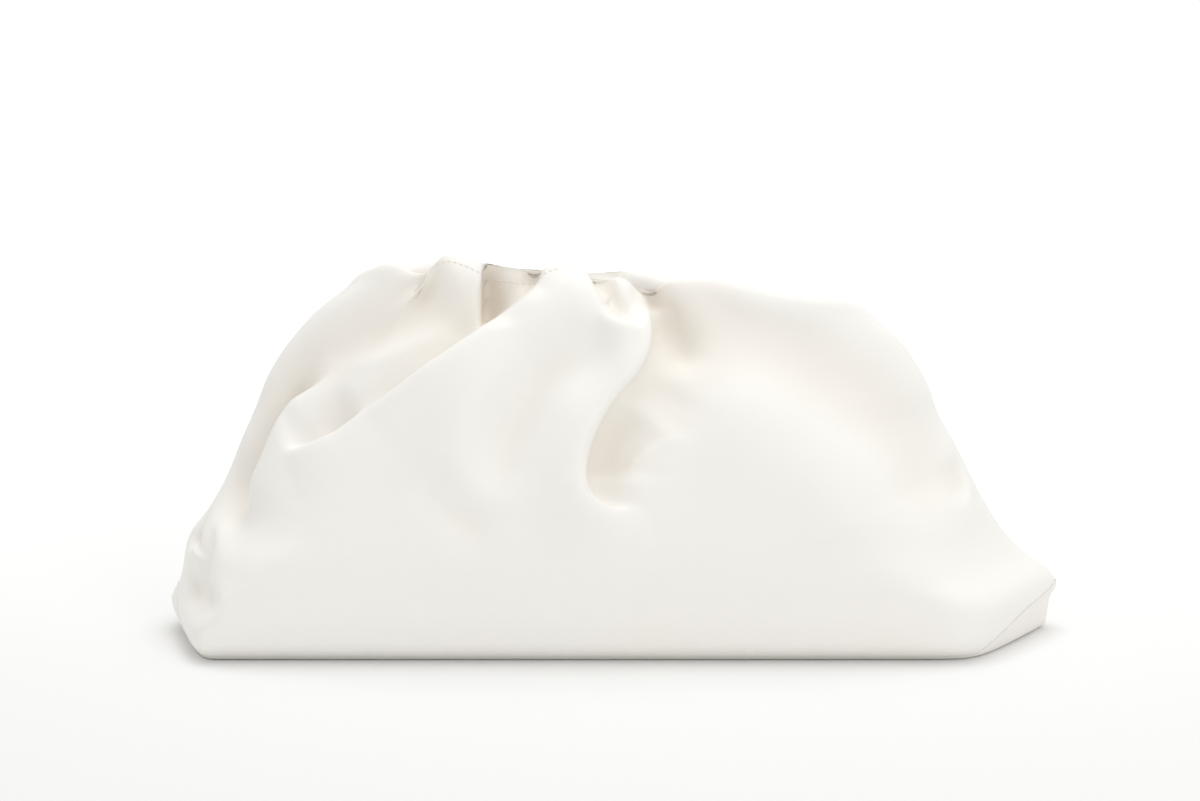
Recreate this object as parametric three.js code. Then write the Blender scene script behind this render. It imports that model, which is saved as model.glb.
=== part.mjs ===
// A soft leather clutch with a gathered mouth, standing shut on its flat base.
// One leather wrap forms the front, the back and the ends. A base panel closes it below and turns
// up at both ends into a pointed gusset. At the top the wrap rolls over a frame ring and in to a
// facing strip, which leaves a long narrow slit into the hollow bag.
// Millimetres, +Z up, front towards -Y, origin on the floor at the middle of the bag.
import * as THREE from 'three';
import { mergeVertices } from 'three/addons/utils/BufferGeometryUtils.js';

// Driving sizes of the bag
const BAG_LENGTH = 384;
const BAG_HEIGHT = 165;
const BAG_DEPTH = 136;
const LEATHER = 2;

// Driving sizes of the mouth
const MOUTH_LENGTH = 196;
const MOUTH_GAP = 10.4;
const LIP_WIDTH = 12;
const FACING_DEPTH = 24;
const SEAM_GAP = 0.3;

// Driving sizes of the frame ring. Its top edge lies this far below the turned-in edge at its ends.
const FRAME_THICK = 3;
const FRAME_TALL = 9;
const FRAME_BELOW_EDGE = 3;
const FRAME_CLEARANCE = 0.3;

// Driving sizes of the base panel's upturned ends
const LEFT_GUSSET_RISE = 20;
const RIGHT_GUSSET_RISE = 21;

// Driving sizes of the folds
const FOLD_DEPTH = 8;
const FOLD_WIDTH = 16;
const FOLD_EDGE = 4;

// Mesh fineness
const COLUMNS = 48;
const WALL_ROWS = 14;
const LIP_ROWS = 7;
const END_CROWDING = 0.55;
const PATH_STEPS = 8;

const HALF_LENGTH = BAG_LENGTH / 2;
const HALF_DEPTH = BAG_DEPTH / 2;
const FRONT = -1;
const BACK = 1;

// The wall's sections from the floor up. height is a share of BAG_HEIGHT, left and right are shares
// of half BAG_LENGTH, and depth is a share of half BAG_DEPTH. leftTip and rightTip are the share
// of each half length over which the section narrows to its tip, and blunt is the roundness of
// that tip, from 0.5 for a round end to 1 for a pointed one.
const WALL_SECTIONS = [
  { height: 0.000, left: 0.965, right: 0.975, leftTip: 0.07, rightTip: 0.19, blunt: 0.95, depth: 0.860 },
  { height: 0.035, left: 0.990, right: 0.980, leftTip: 0.08, rightTip: 0.20, blunt: 0.95, depth: 0.955 },
  { height: 0.080, left: 1.000, right: 0.985, leftTip: 0.09, rightTip: 0.20, blunt: 0.95, depth: 0.985 },
  { height: 0.120, left: 0.985, right: 1.000, leftTip: 0.10, rightTip: 0.21, blunt: 0.95, depth: 1.000 },
  { height: 0.160, left: 0.975, right: 0.980, leftTip: 0.12, rightTip: 0.22, blunt: 0.90, depth: 1.000 },
  { height: 0.205, left: 0.968, right: 0.925, leftTip: 0.15, rightTip: 0.24, blunt: 0.80, depth: 1.000 },
  { height: 0.260, left: 0.955, right: 0.880, leftTip: 0.18, rightTip: 0.26, blunt: 0.70, depth: 0.985 },
  { height: 0.320, left: 0.915, right: 0.845, leftTip: 0.22, rightTip: 0.28, blunt: 0.62, depth: 0.955 },
  { height: 0.400, left: 0.875, right: 0.807, leftTip: 0.26, rightTip: 0.30, blunt: 0.58, depth: 0.900 },
  { height: 0.500, left: 0.840, right: 0.765, leftTip: 0.30, rightTip: 0.34, blunt: 0.55, depth: 0.820 },
  { height: 0.600, left: 0.805, right: 0.728, leftTip: 0.34, rightTip: 0.38, blunt: 0.52, depth: 0.735 },
  { height: 0.700, left: 0.774, right: 0.708, leftTip: 0.38, rightTip: 0.40, blunt: 0.50, depth: 0.640 },
  { height: 0.800, left: 0.725, right: 0.690, leftTip: 0.40, rightTip: 0.42, blunt: 0.50, depth: 0.535 },
  { height: 0.890, left: 0.662, right: 0.668, leftTip: 0.40, rightTip: 0.42, blunt: 0.50, depth: 0.425 },
];

// The lip's sections, over the crest and down into the mouth. drop is below the crest and out is
// outwards from the slit's face, both as shares of LIP_WIDTH.
const LIP_SECTIONS = [
  { drop: 0.69, out: 1.44, corner: 0.32, blunt: 0.5 },
  { drop: 0.21, out: 0.99, corner: 0.21, blunt: 0.5 },
  { drop: 0.00, out: 0.59, corner: 0.13, blunt: 0.5 },
  { drop: 0.14, out: 0.26, corner: 0.08, blunt: 0.5 },
  { drop: 0.55, out: 0.05, corner: 0.05, blunt: 0.5 },
  { drop: 0.85, out: 0.00, corner: 0.05, blunt: 0.5 },
];
const CREST_SECTION = WALL_SECTIONS.length + 2;
const CREST_STARTS = 0.45;

// The crest's height along the mouth, as a share of BAG_HEIGHT. at runs from -1 at the mouth's
// left end to 1 at its right end.
const CREST = [
  { at: -1.00, front: 0.950, back: 0.950 },
  { at: -0.92, front: 0.976, back: 0.945 },
  { at: -0.78, front: 0.958, back: 0.958 },
  { at: -0.70, front: 1.000, back: 0.970 },
  { at: -0.51, front: 0.980, back: 0.945 },
  { at: -0.32, front: 0.965, back: 0.935 },
  { at: -0.14, front: 0.968, back: 0.935 },
  { at: -0.06, front: 0.940, back: 0.938 },
  { at: 0.02, front: 0.942, back: 0.942 },
  { at: 0.12, front: 0.914, back: 0.938 },
  { at: 0.23, front: 0.934, back: 0.915 },
  { at: 0.42, front: 0.942, back: 0.912 },
  { at: 0.65, front: 0.915, back: 0.890 },
  { at: 0.84, front: 0.896, back: 0.872 },
  { at: 0.95, front: 0.890, back: 0.866 },
  { at: 1.00, front: 0.870, back: 0.870 },
];

// The folds push the crest aside more than up or down, so CREST alone sets its height: their rise
// is cut by CREST_KEEPS between two wall sections. They fade over the lip between two shares of
// LIP_WIDTH past the crest.
//
// Each fold's path runs over the leather as [x, height, strength], x as a share of half
// BAG_LENGTH and height as a share of BAG_HEIGHT. leftLift and rightLift are how far the leather
// stands out on the two sides of the path, looking along it from the front, as shares of
// FOLD_DEPTH, below 0 where it sinks. leftWidth and rightWidth are shares of FOLD_WIDTH. Where the
// two lifts differ, the leather steps over itself along FOLD_EDGE, as a pleat does.
const FOLDS = [
  { face: FRONT, leftLift: -0.90, rightLift: 0.60, leftWidth: 1.40, rightWidth: 2.80,
    path: [
      [-0.60, 0.575, 0], [-0.52, 0.645, 0.35], [-0.40, 0.75, 0.85], [-0.30, 0.825, 1],
      [-0.21, 0.90, 0.9], [-0.16, 0.98, 0.3], [-0.15, 1.05, 0.1],
    ] },
  { face: FRONT, leftLift: -0.60, rightLift: 0.25, leftWidth: 0.80, rightWidth: 1.90,
    path: [[-0.68, 0.53, 0], [-0.62, 0.565, 1], [-0.585, 0.59, 0.7], [-0.55, 0.62, 0]] },
  { face: FRONT, leftLift: -1.00, rightLift: 0.60, leftWidth: 0.90, rightWidth: 1.10,
    path: [
      [-0.765, 0.42, 0], [-0.755, 0.47, 0.6], [-0.735, 0.55, 1], [-0.71, 0.61, 1],
      [-0.685, 0.655, 0.7], [-0.65, 0.70, 0],
    ] },
  { face: FRONT, leftLift: -0.85, rightLift: 0.75, leftWidth: 1.60, rightWidth: 1.25,
    path: [
      [0.055, 1.05, 0.2], [0.06, 0.95, 0.5], [0.072, 0.85, 1], [0.078, 0.80, 1],
      [0.04, 0.70, 0.8], [-0.03, 0.60, 0.8], [-0.06, 0.47, 0.9], [-0.045, 0.43, 0.8],
      [-0.01, 0.405, 0.6], [0.05, 0.41, 0.3], [0.10, 0.43, 0],
    ] },
  { face: FRONT, leftLift: -0.90, rightLift: 0.35, leftWidth: 1.20, rightWidth: 0.90,
    path: [
      [-0.06, 1.05, 0.2], [-0.055, 0.945, 0.6], [-0.03, 0.90, 1], [0.0, 0.865, 0.9],
      [0.055, 0.835, 0],
    ] },
  { face: FRONT, leftLift: -0.80, rightLift: -0.80, leftWidth: 0.85, rightWidth: 1.45,
    path: [
      [0.15, 0.96, 0], [0.19, 0.895, 0.6], [0.26, 0.845, 0.9], [0.40, 0.785, 1],
      [0.486, 0.726, 1], [0.60, 0.637, 1], [0.685, 0.545, 1], [0.725, 0.45, 0.8],
      [0.735, 0.37, 0.4], [0.73, 0.29, 0],
    ] },
  { face: FRONT, leftLift: 0.60, rightLift: 0.60, leftWidth: 0.85, rightWidth: 0.80,
    path: [
      [0.16, 0.99, 0], [0.27, 0.95, 0.6], [0.40, 0.915, 1], [0.52, 0.85, 1], [0.63, 0.73, 1],
      [0.70, 0.62, 1], [0.755, 0.49, 0.9], [0.765, 0.38, 0.5], [0.76, 0.28, 0],
    ] },
  { face: FRONT, leftLift: -0.75, rightLift: -0.75, leftWidth: 0.55, rightWidth: 0.45,
    path: [[0.075, 0.90, 0.6], [0.10, 0.83, 1], [0.14, 0.77, 0.8], [0.17, 0.70, 0]] },
  { face: FRONT, leftLift: -0.65, rightLift: -0.65, leftWidth: 0.75, rightWidth: 0.75,
    path: [
      [0.04, 0.80, 0.2], [-0.03, 0.775, 0.6], [-0.10, 0.74, 0.9], [-0.16, 0.69, 1],
      [-0.20, 0.62, 1], [-0.235, 0.55, 0.8], [-0.26, 0.42, 0],
    ] },
  { face: FRONT, leftLift: 0.45, rightLift: 0.45, leftWidth: 0.75, rightWidth: 0.75,
    path: [
      [-0.20, 0.80, 0], [-0.28, 0.72, 0.7], [-0.32, 0.62, 1], [-0.33, 0.52, 0.9],
      [-0.31, 0.45, 0.5], [-0.27, 0.39, 0],
    ] },
  { face: FRONT, leftLift: -0.80, rightLift: -0.80, leftWidth: 0.55, rightWidth: 0.55,
    path: [
      [-0.33, 0.91, 0.3], [-0.40, 0.89, 0.8], [-0.50, 0.84, 1], [-0.60, 0.785, 1],
      [-0.68, 0.73, 0.7], [-0.74, 0.66, 0.4], [-0.77, 0.60, 0.6], [-0.78, 0.52, 1],
      [-0.785, 0.45, 0.8], [-0.78, 0.38, 0],
    ] },
  { face: FRONT, leftLift: -0.60, rightLift: -0.60, leftWidth: 0.60, rightWidth: 0.50,
    path: [
      [0.05, 0.68, 0], [0.03, 0.62, 0.8], [0.012, 0.56, 1], [-0.005, 0.50, 0.8], [-0.01, 0.45, 0],
    ] },
  { face: BACK, leftLift: -0.90, rightLift: -0.90, leftWidth: 1.05, rightWidth: 0.90,
    path: [[-0.30, 1.04, 0.5], [-0.36, 0.84, 1], [-0.46, 0.62, 0.8], [-0.52, 0.42, 0]] },
  { face: BACK, leftLift: 0.65, rightLift: 0.65, leftWidth: 1.05, rightWidth: 1.05,
    path: [[-0.18, 1.00, 0.3], [-0.24, 0.80, 1], [-0.33, 0.60, 0.8], [-0.36, 0.38, 0]] },
  { face: BACK, leftLift: -0.80, rightLift: -0.80, leftWidth: 0.90, rightWidth: 0.90,
    path: [[-0.04, 1.04, 0.5], [-0.06, 0.84, 1], [-0.12, 0.64, 0.8], [-0.16, 0.44, 0]] },
  { face: BACK, leftLift: -1.00, rightLift: -1.00, leftWidth: 0.90, rightWidth: 1.05,
    path: [[0.20, 1.04, 0.5], [0.25, 0.84, 1], [0.36, 0.64, 0.9], [0.46, 0.42, 0]] },
  { face: BACK, leftLift: 0.65, rightLift: 0.65, leftWidth: 1.05, rightWidth: 1.05,
    path: [[0.08, 1.00, 0.3], [0.12, 0.80, 1], [0.22, 0.58, 0.8], [0.26, 0.38, 0]] },
  { face: BACK, leftLift: -0.75, rightLift: -0.75, leftWidth: 0.90, rightWidth: 0.90,
    path: [[0.44, 0.94, 0.4], [0.54, 0.76, 1], [0.66, 0.56, 0.8], [0.72, 0.38, 0]] },
  { face: BACK, leftLift: -0.75, rightLift: -0.75, leftWidth: 0.90, rightWidth: 0.90,
    path: [[-0.50, 0.92, 0.4], [-0.62, 0.74, 1], [-0.74, 0.54, 0.8], [-0.80, 0.36, 0]] },
];
const FOLDS_FADE_AFTER = 0.3;
const FOLDS_GONE_AFTER = 1.1;
const FOLDS_TURN_LEVEL_FROM = WALL_SECTIONS.length - 3;
const FOLDS_LEVEL_BY = WALL_SECTIONS.length;
const CREST_KEEPS = 0.85;

const smooth = (value) => {
  const t = Math.min(Math.max(value, 0), 1);
  return t * t * (3 - 2 * t);
};
const mix = (a, b, t) => a + (b - a) * t;

// A smooth curve through the points (at[i], value[i]), read at one place.
function through(at, value, place) {
  const last = at.length - 1;
  let i = 0;
  while (i < last - 1 && place >= at[i + 1]) i += 1;
  const slope = (j) => (value[j + 1] - value[j]) / (at[j + 1] - at[j]);
  const tangent = (j) => {
    if (j === 0) return slope(0);
    if (j === last) return slope(last - 1);
    const before = at[j] - at[j - 1];
    const after = at[j + 1] - at[j];
    return (slope(j - 1) * after + slope(j) * before) / (before + after);
  };
  const width = at[i + 1] - at[i];
  const t = (place - at[i]) / width;
  const rise = t * t * (3 - 2 * t);
  return value[i] + (value[i + 1] - value[i]) * rise
    + width * (tangent(i) * (t ** 3 - 2 * t * t + t) + tangent(i + 1) * (t ** 3 - t * t));
}

// All sections in millimetres, floor to turned-in edge. drop is null on the wall's own sections.
const SECTIONS = [
  ...WALL_SECTIONS.map((row) => ({
    height: row.height * BAG_HEIGHT,
    left: row.left * HALF_LENGTH,
    right: row.right * HALF_LENGTH,
    leftTip: row.leftTip,
    rightTip: row.rightTip,
    blunt: row.blunt,
    depth: row.depth * HALF_DEPTH,
  })),
  ...LIP_SECTIONS.map((row) => ({
    height: BAG_HEIGHT - row.drop * LIP_WIDTH,
    left: MOUTH_LENGTH / 2 + row.out * LIP_WIDTH,
    right: MOUTH_LENGTH / 2 + row.out * LIP_WIDTH,
    leftTip: row.corner,
    rightTip: row.corner,
    blunt: row.blunt,
    depth: MOUTH_GAP / 2 + row.out * LIP_WIDTH,
  })),
];
const SECTION_NUMBERS = SECTIONS.map((row, number) => number);
const LAST_SECTION = SECTIONS.length - 1;
const sectionValue = (name, number) =>
  through(SECTION_NUMBERS, SECTIONS.map((row) => row[name]), number);
const crestHeight = (face, at) =>
  through(CREST.map((row) => row.at), CREST.map((row) => (face === FRONT ? row.front : row.back)), at)
  * BAG_HEIGHT;

// How far out a section reaches, from 0 at its tips to 1 on its flat, at a share of its length.
function reach(at, corner, blunt) {
  const sharpness = 9;
  const rise = ((1 - Math.abs(at)) / corner) ** blunt;
  const limit = (value) => -Math.log(Math.exp(-sharpness * value) + Math.exp(-sharpness)) / sharpness;
  const start = limit(0);
  return (limit(rise) - start) / (limit((1 / corner) ** blunt) - start);
}

// A section's narrow loop: its point at a share of its length, on one face.
function sectionPoint(section, face, at, height) {
  const left = at < 0;
  const x = at * (left ? section.left : section.right);
  const out = reach(at, left ? section.leftTip : section.rightTip, section.blunt);
  return new THREE.Vector3(x, face * out * section.depth, height);
}

function sectionAt(number) {
  const section = {};
  for (const name of Object.keys(SECTIONS[0])) section[name] = sectionValue(name, number);
  return section;
}

// The columns of a closed loop: left to right along the front and back again behind.
function loopColumns(count) {
  const places = Array.from({ length: count + 1 }, (unused, i) => {
    const even = -1 + (2 * i) / count;
    return mix(even, Math.sin((Math.PI / 2) * even), END_CROWDING);
  });
  return [
    ...places.map((at) => ({ face: FRONT, at })),
    ...places.slice(1, -1).reverse().map((at) => ({ face: BACK, at })),
  ];
}

// The section numbers that divide the middle of the wall and lip into even steps.
function evenSections(first, last, count) {
  const samples = 400;
  const numbers = Array.from({ length: samples + 1 }, (unused, i) => mix(first, last, i / samples));
  const lengths = [0];
  for (let i = 1; i <= samples; i += 1) {
    const across = sectionValue('depth', numbers[i]) - sectionValue('depth', numbers[i - 1]);
    const up = sectionValue('height', numbers[i]) - sectionValue('height', numbers[i - 1]);
    lengths.push(lengths[i - 1] + Math.hypot(across, up));
  }
  return Array.from({ length: count + 1 }, (unused, i) => {
    const target = (lengths[samples] * i) / count;
    let j = 1;
    while (j < samples && lengths[j] < target) j += 1;
    const part = (target - lengths[j - 1]) / (lengths[j] - lengths[j - 1]);
    return mix(numbers[j - 1], numbers[j], part);
  });
}

// The height of the seam between the base panel and the wrap: along the floor, and up at the ends.
function seamHeight(at) {
  const left = at < 0;
  const corner = left ? WALL_SECTIONS[0].leftTip : WALL_SECTIONS[0].rightTip;
  const along = Math.max(0, 1 - (1 - Math.abs(at)) / corner);
  return LEATHER + along * ((left ? LEFT_GUSSET_RISE : RIGHT_GUSSET_RISE) - LEATHER);
}

function numberAtHeight(height) {
  let low = 0;
  let high = WALL_SECTIONS.length - 1;
  for (let i = 0; i < 30; i += 1) {
    const middle = (low + high) / 2;
    if (sectionValue('height', middle) < height) low = middle;
    else high = middle;
  }
  return low;
}

// The distance from a fold's path, above 0 on its left, and the fold's strength at the nearest spot.
function nearestOnPath(path, x, height) {
  let best = { away: Infinity };
  for (let i = 0; i < path.length - 1; i += 1) {
    const [ax, az, aStrength] = path[i];
    const [bx, bz, bStrength] = path[i + 1];
    const dx = bx - ax;
    const dz = bz - az;
    const t = Math.min(Math.max(((x - ax) * dx + (height - az) * dz) / (dx * dx + dz * dz), 0), 1);
    const ex = x - ax - t * dx;
    const ez = height - az - t * dz;
    const away = Math.hypot(ex, ez);
    const distance = away * Math.sign(dx * ez - dz * ex);
    if (away < best.away) best = { away, distance, strength: mix(aStrength, bStrength, t) };
  }
  return best;
}

const FOLD_PATHS = FOLDS.map((fold) => {
  const places = fold.path.map((point, i) => i);
  const steps = PATH_STEPS * (fold.path.length - 1);
  const path = Array.from({ length: steps + 1 }, (unused, i) => {
    const place = (i / steps) * (fold.path.length - 1);
    const value = (column) => through(places, fold.path.map((point) => point[column]), place);
    return [value(0) * HALF_LENGTH, value(1) * BAG_HEIGHT, value(2)];
  });
  return { ...fold, path };
});

function foldLift(face, x, height) {
  let lift = 0;
  for (const fold of FOLD_PATHS) {
    if (fold.face !== face) continue;
    const { distance, strength } = nearestOnPath(fold.path, x, height);
    const width = (distance > 0 ? fold.leftWidth : fold.rightWidth) * FOLD_WIDTH;
    const toLeft = (1 + Math.tanh(distance / FOLD_EDGE)) / 2;
    const stands = mix(fold.rightLift, fold.leftLift, toLeft) * FOLD_DEPTH;
    lift += stands * strength * Math.exp(-((Math.abs(distance) / width) ** 2));
  }
  return lift;
}

// How far the lip has been followed past the crest at a section.
function crossedAt(number) {
  if (number <= CREST_SECTION) return 0;
  const across = sectionValue('depth', number) - sectionValue('depth', CREST_SECTION);
  return Math.hypot(across, sectionValue('height', number) - BAG_HEIGHT);
}

// The spot of the leather on one column at a section. The crest's own waves fade in over the upper
// wall. onSheet is the height on the leather as laid out flat, used to place the folds.
function leatherPoint(column, number) {
  const section = sectionAt(number);
  const share = section.height / BAG_HEIGHT;
  const crest = crestHeight(column.face, column.at);
  const wave = number > CREST_SECTION ? 1 : smooth((share - CREST_STARTS) / (1 - CREST_STARTS));
  const height = section.height + (crest - BAG_HEIGHT) * wave;
  const point = sectionPoint(section, column.face, column.at, height);
  const crossed = crossedAt(number);
  const onSheet = crossed > 0 ? crest + crossed : height;
  return { ...column, number, section, point, crossed, onSheet };
}

// The outward direction of a section's loop at one column, level, scaled so that the loop moved
// along it keeps its distance at a corner too.
function levelOut(section, column) {
  const step = 1e-3;
  const before = sectionPoint(section, column.face, Math.max(-1, column.at - step), 0);
  const after = sectionPoint(section, column.face, Math.min(1, column.at + step), 0);
  const tip = Math.abs(column.at) > 1 - step;
  const along = after.sub(before).normalize();
  const out = new THREE.Vector3(along.y, -along.x, 0).multiplyScalar(-column.face);
  if (!tip) return out;
  const side = new THREE.Vector3(Math.sign(column.at), 0, 0);
  return side.multiplyScalar(Math.min(1.4, 1 / Math.max(out.dot(side), 0.1)));
}

// The leather's outward direction at each point of a grid, from its neighbours, level on the
// grid's first and last rows.
function gridOut(points, spots) {
  const last = points.length - 1;
  return points.map((row, r) => row.map((point, c) => {
    const level = levelOut(spots[r][c].section, spots[r][c]);
    if (r === 0) return level;
    if (r === last) return level.negate();
    const next = row[(c + 1) % row.length];
    const before = row[(c + row.length - 1) % row.length];
    const across = next.clone().sub(before);
    const up = points[r + 1][c].clone().sub(points[r - 1][c]);
    return across.cross(up).normalize();
  }));
}

const moved = (points, out, distance) =>
  points.map((row, r) => row.map((point, c) => point.clone().addScaledVector(out[r][c], distance)));

// One closed body between an outer and an inner grid whose rows close on themselves. A grid that
// starts on a centre line has no edge strip there.
function closedWall(outer, inner, startsOnLine = false) {
  const columns = outer[0].length;
  const rows = outer.length;
  const positions = [...outer.flat(), ...inner.flat()].flatMap((p) => [p.x, p.y, p.z]);
  const index = [];
  const quad = (a, b, c, d) => index.push(a, b, c, a, c, d);
  const behind = rows * columns;
  for (let c = 0; c < columns; c += 1) {
    const next = (c + 1) % columns;
    for (let r = 0; r < rows - 1; r += 1) {
      const low = r * columns;
      const high = low + columns;
      quad(low + c, low + next, high + next, high + c);
      quad(behind + low + next, behind + low + c, behind + high + c, behind + high + next);
    }
    const top = (rows - 1) * columns;
    quad(top + c, top + next, behind + top + next, behind + top + c);
    if (!startsOnLine) quad(next, c, behind + c, behind + next);
  }
  const geometry = new THREE.BufferGeometry();
  geometry.setAttribute('position', new THREE.Float32BufferAttribute(positions, 3));
  geometry.setIndex(index);
  const merged = mergeVertices(geometry, 1e-3);
  const all = Array.from(merged.index.array);
  const kept = [];
  for (let i = 0; i < all.length; i += 3) {
    const [a, b, c] = all.slice(i, i + 3);
    if (a !== b && b !== c && c !== a) kept.push(a, b, c);
  }
  merged.setIndex(kept);
  return merged;
}

const leather = (name) =>
  new THREE.MeshStandardMaterial({ name, color: 0xefece6, roughness: 0.5, metalness: 0 });

function leatherBody() {
  const columns = loopColumns(COLUMNS);
  const shoulder = WALL_SECTIONS.length - 1;
  const steps = [
    ...evenSections(0, shoulder, WALL_ROWS).slice(0, -1),
    ...evenSections(shoulder, LAST_SECTION, LIP_ROWS),
  ];
  const spots = steps.map((number) => columns.map((column) => {
    const seam = numberAtHeight(seamHeight(column.at) + SEAM_GAP);
    const raised = seam + number * (1 - seam / shoulder);
    return leatherPoint(column, number < shoulder ? raised : number);
  }));
  const plain = spots.map((row) => row.map((spot) => spot.point));
  const out = gridOut(plain, spots);
  const folded = plain.map((row, r) => row.map((point, c) => {
    const { number, section, face, at, onSheet, crossed } = spots[r][c];
    const corner = at < 0 ? section.leftTip : section.rightTip;
    const onFace = smooth(reach(at, corner, section.blunt) * 2.2);
    const past = crossed / LIP_WIDTH;
    const fading = 1 - smooth((past - FOLDS_FADE_AFTER) / (FOLDS_GONE_AFTER - FOLDS_FADE_AFTER));
    const turned = (number - FOLDS_TURN_LEVEL_FROM) / (FOLDS_LEVEL_BY - FOLDS_TURN_LEVEL_FROM);
    const away = out[r][c].clone();
    away.z *= 1 - CREST_KEEPS * smooth(turned);
    return point.clone().addScaledVector(away, foldLift(face, point.x, onSheet) * onFace * fading);
  }));
  const wall = closedWall(folded, moved(folded, gridOut(folded, spots), -LEATHER));
  return new THREE.Mesh(wall, leather('body_leather'));
}

function basePanel() {
  const columns = loopColumns(COLUMNS);
  const floor = sectionAt(0);
  const loopAt = (share, inset) => columns.map((column) => {
    const height = inset > 0
      ? Math.max(LEATHER, seamHeight(column.at) * share)
      : seamHeight(column.at) * share;
    const section = sectionAt(numberAtHeight(height));
    const point = sectionPoint(section, column.face, column.at, height);
    return point.addScaledVector(levelOut(section, column), -inset);
  });
  const centreLine = (height) => columns.map((column) => {
    const point = sectionPoint(floor, column.face, column.at * 0.9, height);
    point.y = 0;
    return point;
  });
  const outer = [centreLine(0), ...[0, 0.5, 1].map((share) => loopAt(share, 0))];
  const inner = [centreLine(LEATHER), ...[0, 0.5, 1].map((share) => loopAt(share, LEATHER))];
  return new THREE.Mesh(closedWall(outer, inner, true), leather('base_leather'));
}

// A band that hangs straight down into the mouth: its top height at each column, how far out from
// the slit's face it lies, how tall and how thick it is.
function mouthBand(topAt, offset, tall, thick) {
  const columns = loopColumns(COLUMNS);
  const turned = SECTIONS[LAST_SECTION];
  const loopAt = (share, out) => columns.map((column) => {
    const point = sectionPoint(turned, column.face, column.at, topAt(column) - share * tall);
    return point.addScaledVector(levelOut(turned, column), out);
  });
  const face = [0, 1].map((share) => loopAt(share, offset));
  const back = [0, 1].map((share) => loopAt(share, offset + thick));
  return closedWall(face, back);
}

const turnedEdge = (column) =>
  crestHeight(column.face, column.at) - (BAG_HEIGHT - SECTIONS[LAST_SECTION].height);

function mouthFacing() {
  const band = mouthBand((column) => turnedEdge(column) - SEAM_GAP, 0, FACING_DEPTH, LEATHER);
  return new THREE.Mesh(band, leather('facing_leather'));
}

function mouthFrame() {
  const [leftTop, rightTop] = [-1, 1].map((at) => turnedEdge({ face: FRONT, at }) - FRAME_BELOW_EDGE);
  const band = mouthBand(
    (column) => mix(leftTop, rightTop, (column.at + 1) / 2),
    LEATHER + FRAME_CLEARANCE,
    FRAME_TALL,
    FRAME_THICK,
  );
  const steel = new THREE.MeshStandardMaterial({
    name: 'frame_steel', color: 0xb9b6ae, roughness: 0.35, metalness: 1,
  });
  return new THREE.Mesh(band, steel);
}

const bag = new THREE.Group();
for (const [name, mesh] of [
  ['leather_body', leatherBody()],
  ['base_panel', basePanel()],
  ['mouth_facing', mouthFacing()],
  ['mouth_frame', mouthFrame()],
]) {
  mesh.name = name;
  bag.add(mesh);
}

export default bag;
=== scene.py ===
"""A soft white leather pouch clutch that stands shut on its base, dressed over its solids."""
import logging
import math
from dataclasses import dataclass
from enum import Enum, IntEnum
from typing import Sequence

import bpy
import numpy as np
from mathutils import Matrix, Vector


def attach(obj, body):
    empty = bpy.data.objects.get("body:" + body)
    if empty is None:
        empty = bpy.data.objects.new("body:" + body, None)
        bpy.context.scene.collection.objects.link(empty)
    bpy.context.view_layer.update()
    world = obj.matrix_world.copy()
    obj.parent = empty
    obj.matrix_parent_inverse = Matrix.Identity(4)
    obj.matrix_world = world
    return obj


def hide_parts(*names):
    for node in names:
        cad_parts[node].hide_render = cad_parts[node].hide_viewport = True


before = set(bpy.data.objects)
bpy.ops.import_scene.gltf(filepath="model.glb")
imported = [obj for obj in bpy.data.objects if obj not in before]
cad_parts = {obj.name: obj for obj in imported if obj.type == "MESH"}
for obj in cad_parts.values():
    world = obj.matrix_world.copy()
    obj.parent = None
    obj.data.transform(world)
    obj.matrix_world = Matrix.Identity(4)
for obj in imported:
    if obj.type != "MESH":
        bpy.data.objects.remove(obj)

LOG = logging.getLogger("pouch")
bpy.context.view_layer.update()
# Metres in a millimetre.
MM = 0.001
# Points nearer than this, in millimetres, are one point.
SAME_POINT = 1e-3
Array = np.ndarray


class Side(Enum):
    """The two broad faces of the bag, by the sign of Y that they face."""

    FRONT = -1
    BACK = 1


class Column(IntEnum):
    """What each column of the section table holds."""

    HEIGHT = 0
    LEFT = 1
    RIGHT = 2
    LEFT_CORNER = 3
    RIGHT_CORNER = 4
    BLUNT = 5
    DEPTH = 6


def smooth(value: Array) -> Array:
    """Ease from 0 to 1 with a level start and end."""
    t = np.clip(value, 0.0, 1.0)
    return t * t * (3 - 2 * t)


def through(at: Array, value: Array, place: Array) -> Array:
    """Read a smooth curve through points.

    Args:
        at: where the points lie, rising.
        value: the curve's value at each point.
        place: where to read the curve.

    Returns:
        The curve's value at each place.
    """
    slopes = np.diff(value) / np.diff(at)
    gaps = np.diff(at)
    inner = (slopes[:-1] * gaps[1:] + slopes[1:] * gaps[:-1]) / (gaps[:-1] + gaps[1:])
    tangents = np.concatenate([slopes[:1], inner, slopes[-1:]])
    i = np.clip(np.searchsorted(at, place, side="right") - 1, 0, len(at) - 2)
    width = gaps[i]
    t = (place - at[i]) / width
    rise = t * t * (3 - 2 * t)
    lead = t**3 - 2 * t * t + t
    trail = t**3 - t * t
    bend = width * (tangents[i] * lead + tangents[i + 1] * trail)
    return value[i] + (value[i + 1] - value[i]) * rise + bend


def unit(vectors: Array) -> Array:
    """Scale vectors to length 1."""
    return vectors / np.maximum(np.linalg.norm(vectors, axis=-1, keepdims=True), 1e-9)


def distances(line: Array) -> Array:
    """Give how far along a line each of its points lies."""
    return np.concatenate([[0.0], np.cumsum(np.linalg.norm(np.diff(line, axis=0), axis=1))])


@dataclass(frozen=True)
class WallSection:
    """One level of the wall, in shares of the bag's height, half length and half depth."""

    height: float
    left: float
    right: float
    left_corner: float
    right_corner: float
    blunt: float
    depth: float


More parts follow.
